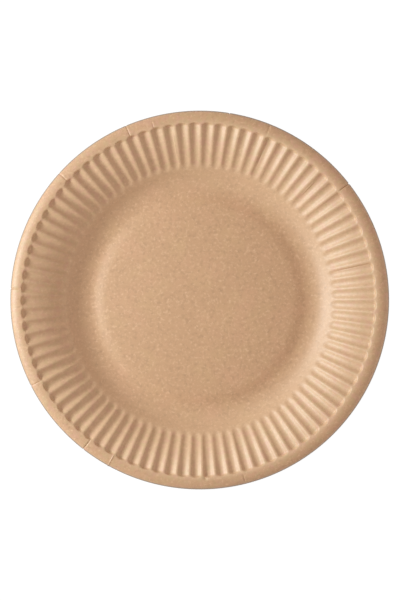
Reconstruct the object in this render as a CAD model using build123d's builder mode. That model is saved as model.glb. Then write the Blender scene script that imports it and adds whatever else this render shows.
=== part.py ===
from build123d import *
import os
from math import acos, asin, cos, degrees, radians, sin, tan

os.makedirs("parts", exist_ok=True)

# A round paper plate pressed from one disc of board, in millimetres, +Z up.
# The origin is the middle of the foot ring that the plate stands on.
# Sizes are of the face that holds the food, and slopes are in degrees above level.

# Disc
sheet = 0.5  # thickness of the board
plate_diameter = 230.0  # across the flats that stand for the round edge, one for each flute

# Floor: a level crown, a shallow fall round it and a steeper edge down to the foot ring
crown_radius = 30.0
crown_rise = 2.0  # crown above the start of the floor's edge
floor_radius = 57.0
edge_rise = 1.8  # start of the floor's edge above the foot ring
foot_inner_radius = 65.8
foot_width = 2.8

# Cove, wall, flange and lip, from the foot ring outwards
cove_radius = 15.6
wall_slope = 38.0
wall_length = 10.9  # straight run up the wall
rim_slope = 8.0  # what is left where the flange meets the lip
lip_radius = 7.0
lip_slope = -75.0  # at the cut edge

# Straight runs that follow each round stretch of the section
cove_runs = 3
flange_runs = 2
lip_runs = 4

# Flutes: troughs pressed into the wall and the flange with one round tool
flute_count = 85
flute_tool_radius = 3.5
flute_flats = 4  # flat sides that follow the tool's arc across a trough
flute_start = 5.2  # from the foot of the wall to a trough's tip, up the slope
flute_inner_depth = 1.2  # where the flange first bends
flute_outer_depth = 1.5  # where the nose begins
flute_nose = 3.4  # length of the scoop that closes a trough at its outer end
flute_margin = 0.4  # from the end of the nose to the lip
tool_clearance = 0.1  # height at which the tool enters and leaves, above the board
tool_overrun = 0.3  # how far the tool's sides run on, past the edge of a trough


def heading(slope):
    """A step of one millimetre outwards and up at a slope."""
    return Vector(cos(radians(slope)), sin(radians(slope)))


def square_to(slope):
    """A step of one millimetre off the upper face, square to a slope."""
    return heading(slope + 90)


def bend(start, radius, slope, end_slope, runs):
    """Ends of the equal runs inscribed in an arc that leaves start at one slope and ends at another."""
    side = 1 if end_slope > slope else -1
    centre = start + square_to(slope) * (side * radius)
    slopes = [slope + (end_slope - slope) * (run + 1) / runs for run in range(runs)]
    return [centre - square_to(turned) * (side * radius) for turned in slopes]


def parallel(corners, gap):
    """The line of corners moved sideways by gap, to its left, with every corner mitred."""
    runs = [(after - before).normalized() for before, after in zip(corners, corners[1:])]
    moved = []
    for corner, coming, leaving in zip(corners, [runs[0], *runs], [*runs, runs[-1]]):
        mitre = (coming + leaving).normalized()
        moved.append(corner + Vector(-mitre.Y, mitre.X) * (gap / mitre.dot(leaving)))
    return moved


# Section of the upper face, from the centre outwards, as radius and height
plate_radius = plate_diameter / 2
lip_width = lip_radius * (sin(radians(rim_slope)) - sin(radians(lip_slope)))
foot_outer = Vector(foot_inner_radius + foot_width, sheet)
cove = bend(foot_outer, cove_radius, 0, wall_slope, cove_runs)
wall_top = cove[-1] + heading(wall_slope) * wall_length
flange_width = plate_radius - lip_width - wall_top.X
flange_radius = flange_width / (sin(radians(wall_slope)) - sin(radians(rim_slope)))
flange = bend(wall_top, flange_radius, wall_slope, rim_slope, flange_runs)
lip = bend(flange[-1], lip_radius, rim_slope, lip_slope, lip_runs)
upper_face = [
    Vector(0, sheet + edge_rise + crown_rise),
    Vector(crown_radius, sheet + edge_rise + crown_rise),
    Vector(floor_radius, sheet + edge_rise),
    Vector(foot_inner_radius, sheet),
    foot_outer,
    *cove,
    wall_top,
    *flange,
    *lip,
]
lower_face = parallel(upper_face, -sheet)

# Bottom line of a trough: its tip on the wall, each bend of the flange, and both ends of its nose
rim_run = (flange[-1] - flange[-2]).normalized()
rim_run_slope = degrees(asin(rim_run.Y))
nose_end = flange[-1] - rim_run * flute_margin
nose_start = nose_end - rim_run * flute_nose
flute_tip = cove[-1] + heading(wall_slope) * flute_start
trough_line = [flute_tip + square_to(wall_slope) * tool_clearance]
for bend_number, corner in enumerate(flange[:-1]):
    corner_slope = wall_slope + (rim_slope - wall_slope) * (bend_number + 1) / flange_runs
    outward = (corner.X - flange[0].X) / (nose_start.X - flange[0].X)
    depth = flute_inner_depth + (flute_outer_depth - flute_inner_depth) * outward
    trough_line.append(corner - square_to(corner_slope) * depth)
trough_line.append(nose_start - square_to(rim_run_slope) * flute_outer_depth)
trough_line.append(nose_end + square_to(rim_run_slope) * tool_clearance)


def trough_tool(growth):
    """The round tool, swollen by growth, drawn along the bottom line of a trough."""
    radius = flute_tool_radius + growth
    half_turn = acos((flute_tool_radius - flute_outer_depth) / flute_tool_radius)
    turns = [half_turn * (2 * flat / flute_flats - 1) for flat in range(flute_flats + 1)]
    arc = [(radius * sin(turn), flute_tool_radius - radius * cos(turn)) for turn in turns]
    with BuildPart() as tool:
        with BuildLine(Plane.XZ) as path:
            Polyline(*[(point.X, point.Y) for point in trough_line])
        with BuildSketch(Plane(origin=path.line @ 0, x_dir=(0, 1, 0), z_dir=path.line % 0)):
            with BuildLine():
                flats = Polyline(*arc)
                right = Line(flats @ 1, flats @ 1 + (flats % 1) * tool_overrun)
                left = Line(flats @ 0, flats @ 0 - (flats % 0) * tool_overrun)
                Line(right @ 1, left @ 1)
            make_face()
        sweep(path=path.line, transition=Transition.RIGHT)
    return tool.part


# What is above the middle of the board, which trims the ribs that the troughs press out below
overhead = 2 * plate_radius
with BuildPart() as above:
    with BuildSketch(Plane.XZ):
        with BuildLine():
            middle = parallel(upper_face, -sheet / 2)
            Polyline(*middle, Vector(middle[-1].X, overhead), Vector(0, overhead), close=True)
        make_face()
    extrude(amount=plate_radius, both=True)

with BuildPart() as rib:
    add(trough_tool(sheet))
    add(above.part, mode=Mode.SUBTRACT)

# One sector of the plate, as wide as one flute, with its trough and the rib under it
flute_pitch = 360 / flute_count
with BuildPart() as sector:
    with BuildSketch(Plane.XZ):
        with BuildLine():
            Polyline(*upper_face, *reversed(lower_face), close=True)
        make_face()
    extrude(amount=plate_radius, both=True)
    add(rib.part)
    add(trough_tool(0), mode=Mode.SUBTRACT)
    with BuildSketch(Plane.XY.offset(-overhead)):
        with BuildLine():
            side = overhead * tan(radians(flute_pitch / 2))
            Polyline((0, 0), (overhead, -side), (overhead, side), close=True)
        make_face()
    extrude(amount=2 * overhead, mode=Mode.INTERSECT)

# The plate: one piece of board, with the crest between two flutes on +X
with BuildPart() as plate:
    with PolarLocations(0, flute_count, start_angle=flute_pitch / 2):
        add(sector.part)

plate.part.label = "plate"
export_step(plate.part, "parts/plate.step")
print(f"plate: {plate.part.volume:.0f} cubic mm, {len(plate.part.faces())} faces")
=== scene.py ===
from math import cos, pi, radians, sin

import bpy
import numpy as np
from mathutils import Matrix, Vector


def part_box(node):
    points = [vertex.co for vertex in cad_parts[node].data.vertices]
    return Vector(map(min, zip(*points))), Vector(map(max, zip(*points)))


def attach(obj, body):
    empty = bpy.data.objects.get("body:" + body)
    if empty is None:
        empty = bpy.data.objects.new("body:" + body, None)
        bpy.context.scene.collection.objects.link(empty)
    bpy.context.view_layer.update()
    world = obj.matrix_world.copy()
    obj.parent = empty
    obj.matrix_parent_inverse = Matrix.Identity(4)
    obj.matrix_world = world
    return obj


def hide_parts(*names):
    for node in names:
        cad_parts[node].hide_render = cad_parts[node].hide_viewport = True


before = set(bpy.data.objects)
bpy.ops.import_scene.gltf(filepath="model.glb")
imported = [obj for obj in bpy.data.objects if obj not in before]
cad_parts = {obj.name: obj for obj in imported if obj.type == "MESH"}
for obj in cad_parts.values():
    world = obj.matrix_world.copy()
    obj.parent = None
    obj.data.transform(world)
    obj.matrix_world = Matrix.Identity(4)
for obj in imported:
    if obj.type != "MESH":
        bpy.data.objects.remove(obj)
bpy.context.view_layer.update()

# The pressed board
# One disc of uncoated kraft board, half a millimetre thick, damped and pressed between two heated
# tools. Nothing is joined to it: floor, foot ring, wall, flutes and lip are one sheet, and both
# faces carry the same shape, a board's thickness apart. Sizes are metres, and slopes are degrees.

board_low, board_high = (np.array(corner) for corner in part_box("plate"))
rim_radius = float(board_high[0] - board_low[0]) / 2
board_thickness = 0.0005

# The upper face from the centre outwards: the length of each run, and the slope at its end
crown_run = (0.0568, -6.5)
floor_edge_runs = [(0.0032, -15.0), (0.0036, -16.5), (0.0032, -2.0), (0.0008, 0.0)]
foot_run = (0.0004, 0.0)
cove_run = (0.0108, 36.0)
wall_run = (0.0109, 36.0)
rim_slope = 12.0  # where the flange ends and the lip starts
lip_runs = [(0.0063, -28.5), (0.0035, -78.0)]
section_samples = 40000


def run_width(length, start, stop):
    """Width across the plate of a run that bends evenly from one slope to the other: its length times
    the change of the slope's sine, over the change of the slope."""
    return length * (sin(radians(stop)) - sin(radians(start))) / radians(stop - start)


def section_line(runs):
    """Distance along the board, radius, height and slope: the slope changes evenly along each run,
    and radius and height are the running sums of its cosine and its sine."""
    ends = np.concatenate([[0.0], np.cumsum([length for length, _ in runs])])
    slopes = np.radians([0.0] + [slope for _, slope in runs])
    along = np.linspace(0.0, ends[-1], section_samples)
    slope = np.interp(along, ends, slopes)
    step = np.diff(along)
    middle = (slope[1:] + slope[:-1]) / 2
    radius = np.concatenate([[0.0], np.cumsum(np.cos(middle) * step)])
    height = np.concatenate([[0.0], np.cumsum(np.sin(middle) * step)])
    return along, radius, height, slope


def section_runs():
    """All the runs, with a flange as wide as the round rim leaves it: the rim's radius, less the
    width of the lip and of all that lies inside the flange."""
    inner_runs = [crown_run, *floor_edge_runs, foot_run, cove_run, wall_run]
    wall_top_radius = section_line(inner_runs)[1][-1]
    lip_starts = [rim_slope] + [slope for _, slope in lip_runs]
    lip_width = sum(run_width(length, start, stop) for (length, stop), start in zip(lip_runs, lip_starts))
    flange_width = rim_radius - lip_width - wall_top_radius
    flange_length = flange_width / run_width(1.0, wall_run[1], rim_slope)
    return [*inner_runs, (flange_length, rim_slope), *lip_runs]


runs = section_runs()
along, radius, height, slope = section_line(runs)

# Places along the board where the runs end. The foot ring's underside lies at the plate's base.
run_ends = np.cumsum([length for length, _ in runs])
crown_end, edge = run_ends[0], run_ends[-1]
foot_start, foot_end, wall_foot = run_ends[len(floor_edge_runs):][:3]
flange_end = run_ends[-1 - len(lip_runs)]
foot_height = np.interp((foot_start + foot_end) / 2, along, height)
height += board_low[2] + board_thickness - foot_height

# Flutes: the troughs that a ring of small round ribs on the tools pressed into wall and flange.
# A trough closes in a tip at its inner end and in a blunter nose at its outer end.
flute_count = 85
first_crest = radians(0.2)
flute_shift = 0.00076  # of the whole ring, to the left of the trimmed edge
hollow_share = 0.68  # of half a flute's width, the rest being half a crest
tip_up_wall = 0.0082  # from the wall's foot to the outer end of the tip
tip_length = 0.0052
nose_past_flange = 0.0012  # from the flange's end to the outer end of the nose
nose_length = 0.0023

# Flanks: the slope of a trough's sides at two radii, which goes on changing a little past both
inner_flank, inner_flank_radius = radians(31), 0.085
outer_flank, outer_flank_radius = radians(47), 0.103
least_flank_share, most_flank_share = -0.2, 1.1

tip_end = wall_foot + tip_up_wall
tip_start = tip_end - tip_length
nose_end = flange_end + nose_past_flange
nose_start = nose_end - nose_length

# Creases and nicks: turn in degrees, depth, half width, and the radii where each starts to deepen
# and starts to fade. One with a depth below zero stands up as a ridge, and the widest draws one
# trough to a point.
creases = [
    (12.0, 0.00025, 0.00035, 0.0850, 0.1030),
    (38.0, 0.00060, 0.00035, 0.1068, 0.1150),
    (46.0, -0.00030, 0.00035, 0.0880, 0.1000),
    (67.0, 0.00025, 0.00035, 0.0880, 0.1030),
    (68.0, 0.00020, 0.00060, 0.1075, 0.1140),
    (81.0, 0.00040, 0.00035, 0.1135, 0.1150),
    (99.0, -0.00030, 0.00035, 0.0880, 0.1030),
    (105.0, 0.00020, 0.00035, 0.1070, 0.1110),
    (113.0, 0.00030, 0.00035, 0.1070, 0.1150),
    (138.0, 0.00030, 0.00035, 0.1070, 0.1150),
    (176.5, 0.00035, 0.00035, 0.1080, 0.1150),
    (207.0, 0.00030, 0.00035, 0.1070, 0.1150),
    (232.0, 0.00045, 0.00035, 0.1068, 0.1150),
    (241.0, -0.00030, 0.00035, 0.1068, 0.1150),
    (271.9, 0.00050, 0.00120, 0.1035, 0.1086),
    (284.0, 0.00028, 0.00040, 0.1085, 0.1130),
]
crease_fade_in, crease_fade_out = 0.0015, 0.0010

# Rows of the mesh: each stop along the board, and the steps up to it. The steps are wide on the
# floor and narrow where the flutes start and end.
pole_ring = 0.0015  # the first ring round the centre
row_stops = [
    (pole_ring, 1), (crown_end, 5), (foot_start, 7), (foot_end, 1), (wall_foot, 4),
    (tip_start - flute_shift, 2), (tip_end + flute_shift, 6),
    (nose_start - flute_shift, 6), (nose_end + flute_shift, 10), (edge, 8),
]
rows = np.array([0.0])
for stop, steps in row_stops:
    rows = np.append(rows, np.linspace(rows[-1], stop, steps + 1)[1:])
rows = rows[1:]
row_radius = np.interp(rows, along, radius)[:, None]
row_height = np.interp(rows, along, height)[:, None]
row_slope = np.interp(rows, along, slope)[:, None]

# Columns of the mesh: evenly round the plate, with more across each crease, in its half widths
columns_per_flute = 10
crease_columns = np.array([-2.4, -1.2, -0.6, 0.0, 0.6, 1.2, 2.4])
narrowest_column = 0.0003  # radians
even_columns = flute_count * columns_per_flute
even_turns = first_crest + np.arange(even_columns) * (2 * pi / even_columns)
crease_turns = np.radians([angle for angle, *_ in creases])[:, None]
crease_widths = np.array([width for _, _, width, _, _ in creases])[:, None]
turns_across = crease_turns + crease_columns * crease_widths / rim_radius
turn = np.sort(np.concatenate([even_turns, turns_across.ravel()]))
turn = turn[np.append(np.diff(turn) > narrowest_column, True)]


def flute_depth():
    """Depth of the flutes under the plain dish, with turn and place taken from the middle of their
    own ring. Across a flute it is a hollow arc and, on each side, a crest arc that meets it at the
    flank's slope, so a trough is as deep as half a flute's width times the tangent of half that
    slope. In the tip and the nose, the way from the middle line and the way past the full trough
    count together, as two sides of a right angle, and that closes the hollow in a scoop."""
    ring_turn = np.arctan2(row_radius * np.sin(turn), row_radius * np.cos(turn) + flute_shift)
    ring_place = rows[:, None] + flute_shift * np.cos(turn)
    across = np.abs(2 * np.mod((ring_turn - first_crest) * flute_count / (2 * pi), 1.0) - 1)
    past = np.maximum((tip_end - ring_place) / tip_length, (ring_place - nose_start) / nose_length)
    away = np.clip(np.hypot(across, np.clip(past, 0, None)), 0, 1)
    flank_share = (row_radius - inner_flank_radius) / (outer_flank_radius - inner_flank_radius)
    flank_share = np.clip(flank_share, least_flank_share, most_flank_share)
    flank = inner_flank + (outer_flank - inner_flank) * flank_share
    crest_share = 1 - hollow_share
    full_arc = np.sin(flank) * np.tan(flank / 2)
    hollow_arc = 1 - np.sqrt(np.clip(1 - (away * np.sin(flank) / hollow_share) ** 2, 0, 1))
    crest_arc = 1 - np.sqrt(np.clip(1 - ((1 - away) * np.sin(flank) / crest_share) ** 2, 0, 1))
    in_hollow = 1 - hollow_share * hollow_arc / full_arc
    on_crest = crest_share * crest_arc / full_arc
    half_width = row_radius * pi / flute_count
    return half_width * np.tan(flank / 2) * np.where(away < hollow_share, in_hollow, on_crest)


def crease_depth():
    """Depth of the creases: a narrow bell across each, which fades in and out along it."""
    depth = np.zeros((len(rows), len(turn)))
    for angle, deep, width, inner, outer in creases:
        across = (np.mod(turn - radians(angle) + pi, 2 * pi) - pi) * row_radius / width
        fade_in = np.clip((row_radius - inner) / crease_fade_in, 0, 1)
        fade_out = np.clip((outer - row_radius) / crease_fade_out + 1, 0, 1)
        depth += deep * fade_in * fade_out * np.exp(-(across ** 2))
    return depth


# Waves of the rim: how many go round the plate, half their height, and their phase in radians
rim_waves = [(2, 0.00012, 0.4), (3, 0.00010, 2.1), (5, 0.00006, 4.0), (11, 0.00004, 1.3), (17, 0.00003, 5.2)]
wave_start_radius, wave_full_radius = 0.080, 0.110


def rim_wave():
    """How far down the rim waves: the sum of the waves, growing with the square of the way out from
    the radius where they start."""
    drop = sum(size * np.sin(count * turn + phase) for count, size, phase in rim_waves)
    way_out = np.clip((row_radius - wave_start_radius) / (wave_full_radius - wave_start_radius), 0, 1)
    return drop * way_out ** 2


def upper_face():
    """Grid of the upper face: the section turned round the plate, pressed in at right angles to its
    slope by the flutes and creases, and lowered by the waves."""
    depth = flute_depth() + crease_depth()
    out = row_radius + np.sin(row_slope) * depth
    up = row_height - np.cos(row_slope) * depth - rim_wave()
    return np.stack([out * np.cos(turn), out * np.sin(turn), up], axis=2)


def lower_face(upper):
    """Grid of the lower face: each point lies a board's thickness from the upper one, along the normal
    to the lines between that point's neighbours, and no lower than the plate's base."""
    outwards = np.gradient(upper, axis=0)
    around = np.roll(upper, -1, axis=1) - np.roll(upper, 1, axis=1)
    normal = np.cross(outwards, around)
    normal = normal / np.linalg.norm(normal, axis=2, keepdims=True)
    lower = upper - normal * board_thickness
    lower[..., 2] = np.maximum(lower[..., 2], board_low[2])
    return lower


sharp_bend = radians(60)  # the cut edge bends more, and so do the deepest nicks


def closed_board(upper, lower):
    """One closed mesh: the upper face from the centre out, the cut edge, the lower face back in, and a
    fan of triangles round each pole."""
    sheets = np.concatenate([upper, lower[::-1]])
    count, around = sheets.shape[:2]
    points = sheets.reshape(-1, 3)
    column = np.arange(around)
    after = np.roll(column, -1)
    row_starts = np.arange(count - 1)[:, None] * around
    here, beside = row_starts + column, row_starts + after
    quads = np.stack([here, here + around, beside + around, beside], axis=2).reshape(-1, 4)
    poles = [[0, 0, upper[0, :, 2].mean()], [0, 0, lower[0, :, 2].mean()]]
    top, bottom = len(points), len(points) + 1
    last = (count - 1) * around
    top_fan = np.stack([np.full(around, top), column, after], axis=1)
    bottom_fan = np.stack([np.full(around, bottom), last + after, last + column], axis=1)
    mesh = bpy.data.meshes.new("kraft_board")
    mesh.from_pydata(
        np.concatenate([points, poles]).tolist(), [],
        quads.tolist() + top_fan.tolist() + bottom_fan.tolist(),
    )
    mesh.polygons.foreach_set("use_smooth", [True] * len(mesh.polygons))
    mesh.set_sharp_from_angle(angle=sharp_bend)
    mesh.validate()
    return mesh


# Painted light: the wall, the flutes and the flange are painted paler, which lightens the shade that falls
# in them
painted_light_up_wall = 0.0085  # from the wall's foot to where the painted light is full
painted_light_past_flange = 0.0030  # from the flange's end to where the painted light ends
painted_light_fade = 0.0025


def painted_light_amount():
    """How much painted light each point of the mesh gets, from 0 to 1: it rises evenly from the foot ring up
    the wall, and falls evenly again on the lip."""
    rising = np.clip((rows - foot_end) / (wall_foot + painted_light_up_wall - foot_end), 0, 1)
    falling = np.clip((flange_end + painted_light_past_flange - rows) / painted_light_fade, 0, 1)
    face = np.repeat(rising * falling, len(turn))
    poles = [0.0, 0.0]
    return np.concatenate([face, face[::-1], poles])


upper = upper_face()
board_mesh = closed_board(upper, lower_face(upper))
# The share of painted light at each point, kept on the mesh for the board's finish
painted_light_mask = board_mesh.attributes.new("painted_light_mask", "FLOAT", "POINT")
painted_light_mask.data.foreach_set("value", painted_light_amount())
board = bpy.data.objects.new("kraft_board", board_mesh)
bpy.context.scene.collection.objects.link(board)

# Kraft board's finish: brown pulp in thicker and thinner patches, with dark and pale fibres in it.
# A tint has its patches to the metre, the noise at which it starts and is full, and its full share.
kraft_colour = (0.570, 0.344, 0.194)
pink_pulp = dict(patches=55, detail=2, colour=(0.625, 0.360, 0.215), start=0.50, full=0.72, share=0.6)
yellow_pulp = dict(patches=80, detail=2, colour=(0.600, 0.390, 0.205), start=0.50, full=0.72, share=0.4)
dark_fibres = dict(
    patches=420, detail=3, roughness=0.6, colour=(0.440, 0.262, 0.146), start=0.50, full=0.80, share=0.9,
)
pale_fibres = dict(
    patches=640, detail=3, roughness=0.6, colour=(0.760, 0.500, 0.310), start=0.52, full=0.80, share=0.9,
)
pink_rim = dict(patches=240, detail=3, colour=(0.610, 0.335, 0.240), start=0.50, full=0.64, share=0.42)
olive_rim = dict(patches=300, detail=3, colour=(0.540, 0.390, 0.205), start=0.50, full=0.64, share=0.42)
rim_tint_start, rim_tint_full = 0.074, 0.084  # radii
# Painted light: a paler colour laid over the wall, the flutes and the flange, which lightens their shade
painted_light_colour, painted_light_share = (0.730, 0.512, 0.325), 0.38
# A dark line painted round the outermost edge of the lip
outer_line_colour, outer_line_share = (0.220, 0.165, 0.125), 0.85
outer_line_start, outer_line_full = 0.0009, 0.0003  # inside the rim's radius
surface_grain = dict(patches=900, detail=4)
smoothest, roughest = 0.42, 0.62
fibre_relief = dict(patches=1600, detail=6, roughness=0.65)
fibre_height, fibre_strength = 0.00008, 0.35
board_sheen = 0.75  # pressed board shines a little more than plain paper

kraft = bpy.data.materials.new("kraft_board")
kraft.use_nodes = True
nodes, links = kraft.node_tree.nodes, kraft.node_tree.links
shader = nodes["Principled BSDF"]
shader.inputs["Specular IOR Level"].default_value = board_sheen
place_on_board = nodes.new("ShaderNodeTexCoord").outputs["Object"]


def pulp_noise(patches, detail, roughness=0.5):
    """Smooth noise over the board, with so many patches to the metre."""
    noise = nodes.new("ShaderNodeTexNoise")
    noise.inputs["Scale"].default_value = patches
    noise.inputs["Detail"].default_value = detail
    noise.inputs["Roughness"].default_value = roughness
    links.new(place_on_board, noise.inputs["Vector"])
    return noise.outputs["Fac"]


def ramp(factor, start, full, low=0.0, high=1.0):
    """A value that goes evenly from low to high while the factor goes from start to full."""
    spread = nodes.new("ShaderNodeMapRange")
    spread.inputs["From Min"].default_value = start
    spread.inputs["From Max"].default_value = full
    spread.inputs["To Min"].default_value = low
    spread.inputs["To Max"].default_value = high
    links.new(factor, spread.inputs["Value"])
    return spread.outputs["Result"]


def join_values(operation, one, other):
    """One step of arithmetic on two values."""
    step = nodes.new("ShaderNodeMath")
    step.operation = operation
    links.new(one, step.inputs[0])
    links.new(other, step.inputs[1])
    return step.outputs["Value"]


def tint(below, factor, colour, start, full, share):
    """Colour mixed over what is below: none of it where the factor is at start, and its share where
    the factor is at full."""
    mix = nodes.new("ShaderNodeMix")
    mix.data_type = "RGBA"
    links.new(ramp(factor, start, full, high=share), mix.inputs["Factor"])
    if isinstance(below, tuple):
        mix.inputs["A"].default_value = (*below, 1)
    else:
        links.new(below, mix.inputs["A"])
    mix.inputs["B"].default_value = (*colour, 1)
    return mix.outputs["Result"]


def mottle(below, colour, start, full, share, where=None, **noise):
    """Colour mixed over what is below in the patches of a noise, everywhere or where a mask allows."""
    factor = pulp_noise(**noise)
    if where is not None:
        factor = join_values("MULTIPLY", factor, where)
    return tint(below, factor, colour, start, full, share)


across_only = (1, 1, 0)  # the height left out
flat_place = nodes.new("ShaderNodeVectorMath")
flat_place.operation = "MULTIPLY"
flat_place.inputs[1].default_value = across_only
links.new(place_on_board, flat_place.inputs[0])
way_out = nodes.new("ShaderNodeVectorMath")
way_out.operation = "LENGTH"
links.new(flat_place.outputs["Vector"], way_out.inputs[0])
board_radius = way_out.outputs["Value"]
on_rim = ramp(board_radius, rim_tint_start, rim_tint_full)
painted_light_attribute = nodes.new("ShaderNodeAttribute")
painted_light_attribute.attribute_name = "painted_light_mask"

colour = mottle(kraft_colour, **pink_pulp)
colour = mottle(colour, **yellow_pulp)
colour = mottle(colour, **dark_fibres)
colour = mottle(colour, **pale_fibres)
# Painted light: paler up the wall and over the flange, by the share kept on the mesh
colour = tint(colour, painted_light_attribute.outputs["Fac"], painted_light_colour, 0.0, 1.0, painted_light_share)
colour = mottle(colour, where=on_rim, **pink_rim)
colour = mottle(colour, where=on_rim, **olive_rim)
# Darker in a thin line round the outermost edge of the lip
colour = tint(
    colour, board_radius, outer_line_colour,
    rim_radius - outer_line_start, rim_radius - outer_line_full, outer_line_share,
)
links.new(colour, shader.inputs["Base Color"])
links.new(ramp(pulp_noise(**surface_grain), 0.0, 1.0, smoothest, roughest), shader.inputs["Roughness"])

relief = nodes.new("ShaderNodeBump")
relief.inputs["Strength"].default_value = fibre_strength
relief.inputs["Distance"].default_value = fibre_height
links.new(pulp_noise(**fibre_relief), relief.inputs["Height"])
links.new(relief.outputs["Normal"], shader.inputs["Normal"])
board_mesh.materials.append(kraft)

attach(board, "root")
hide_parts("plate")

# The white floor
# A plain matt board under the plate. The camera and reflections see mostly its glow, which makes it
# white as paper, and the rest of it is lit by the lamps, so the plate's soft shadow still shows.
floor_size = 3.0
floor_gap = 0.0001  # under the foot ring
floor_colour, floor_roughness = (0.90, 0.90, 0.90), 0.9
glow_strength, glow_share = 1.05, 0.94

half = floor_size / 2
floor_corners = [(-half, -half, 0), (half, -half, 0), (half, half, 0), (-half, half, 0)]
floor_mesh = bpy.data.meshes.new("floor")
floor_mesh.from_pydata(floor_corners, [], [(0, 1, 2, 3)])
floor = bpy.data.objects.new("floor", floor_mesh)
floor.location.z = float(board_low[2]) - floor_gap
bpy.context.scene.collection.objects.link(floor)

paper_white = bpy.data.materials.new("floor_white")
paper_white.use_nodes = True
nodes, links = paper_white.node_tree.nodes, paper_white.node_tree.links
matt = nodes["Principled BSDF"]
matt.inputs["Base Color"].default_value = (*floor_colour, 1)
matt.inputs["Roughness"].default_value = floor_roughness
glow = nodes.new("ShaderNodeEmission")
glow.inputs["Strength"].default_value = glow_strength
rays = nodes.new("ShaderNodeLightPath")
seen = join_values("MAXIMUM", rays.outputs["Is Camera Ray"], rays.outputs["Is Glossy Ray"])
seen = join_values("MAXIMUM", seen, rays.outputs["Is Transmission Ray"])
lit_or_glowing = nodes.new("ShaderNodeMixShader")
links.new(ramp(seen, 0.0, 1.0, high=glow_share), lit_or_glowing.inputs["Fac"])
links.new(matt.outputs["BSDF"], lit_or_glowing.inputs[1])
links.new(glow.outputs["Emission"], lit_or_glowing.inputs[2])
links.new(lit_or_glowing.outputs["Shader"], nodes["Material Output"].inputs["Surface"])
floor_mesh.materials.append(paper_white)

# The light
# A soft lamp low on the left, which draws the flutes, a weak one opposite for the right of the rim,
# and an even fill from all round that is warmer than the lamps. Sizes are metres and power is watts.
fill_colour, fill_strength = (1.0, 0.87, 0.78), 0.57

studio = bpy.data.worlds.new("studio")
studio.use_nodes = True
fill = studio.node_tree.nodes["Background"]
fill.inputs["Color"].default_value = (*fill_colour, 1)
fill.inputs["Strength"].default_value = fill_strength
bpy.context.scene.world = studio


def soft_lamp(name, azimuth, elevation, distance, width, height, power, colour=(1.0, 1.0, 1.0)):
    """A flat lamp that faces the plate. Its azimuth in degrees goes from the photograph's right
    towards its top, and its elevation is degrees above the floor."""
    panel = bpy.data.lights.new(name, "AREA")
    panel.shape = "RECTANGLE"
    panel.size = width
    panel.size_y = height
    panel.energy = power
    panel.color = colour
    lamp = bpy.data.objects.new(name, panel)
    turned, raised = radians(azimuth), radians(elevation)
    lamp.location = distance * Vector((cos(raised) * cos(turned), cos(raised) * sin(turned), sin(raised)))
    lamp.rotation_euler = (-lamp.location).to_track_quat("-Z", "Y").to_euler()
    bpy.context.scene.collection.objects.link(lamp)


soft_lamp(
    "key_light", azimuth=174.5, elevation=29.5, distance=1.1, width=0.55, height=0.24, power=11.85,
    colour=(0.89, 1.0, 1.03),
)
soft_lamp("rim_fill", azimuth=-10, elevation=18, distance=1.1, width=0.8, height=0.4, power=1.0)

# The camera
# It looks straight down from far enough up for the rim to be a plain circle, and hangs a little to
# one side, because the plate isn't quite in the middle of the photograph. Pixels are the photograph's.
photo_width, photo_height = 401, 601
plate_middle = (199.24, 299.52)
plate_pixels = 189.4  # from the plate's middle to its edge
camera_height = 1.3
sensor_height = 36.0  # millimetres

pixel = rim_radius / plate_pixels
edge_height = float(np.mean(upper[-1, :, 2]))
lens = bpy.data.cameras.new("camera")
lens.sensor_fit = "VERTICAL"
lens.sensor_height = sensor_height
lens.lens = sensor_height * (camera_height - edge_height) / (photo_height * pixel)
camera = bpy.data.objects.new("camera", lens)
camera.location = (
    ((photo_width - 1) / 2 - plate_middle[0]) * pixel,
    (plate_middle[1] - (photo_height - 1) / 2) * pixel,
    camera_height,
)
bpy.context.scene.collection.objects.link(camera)
bpy.context.scene.camera = camera
bpy.context.scene.view_settings.view_transform = "Standard"
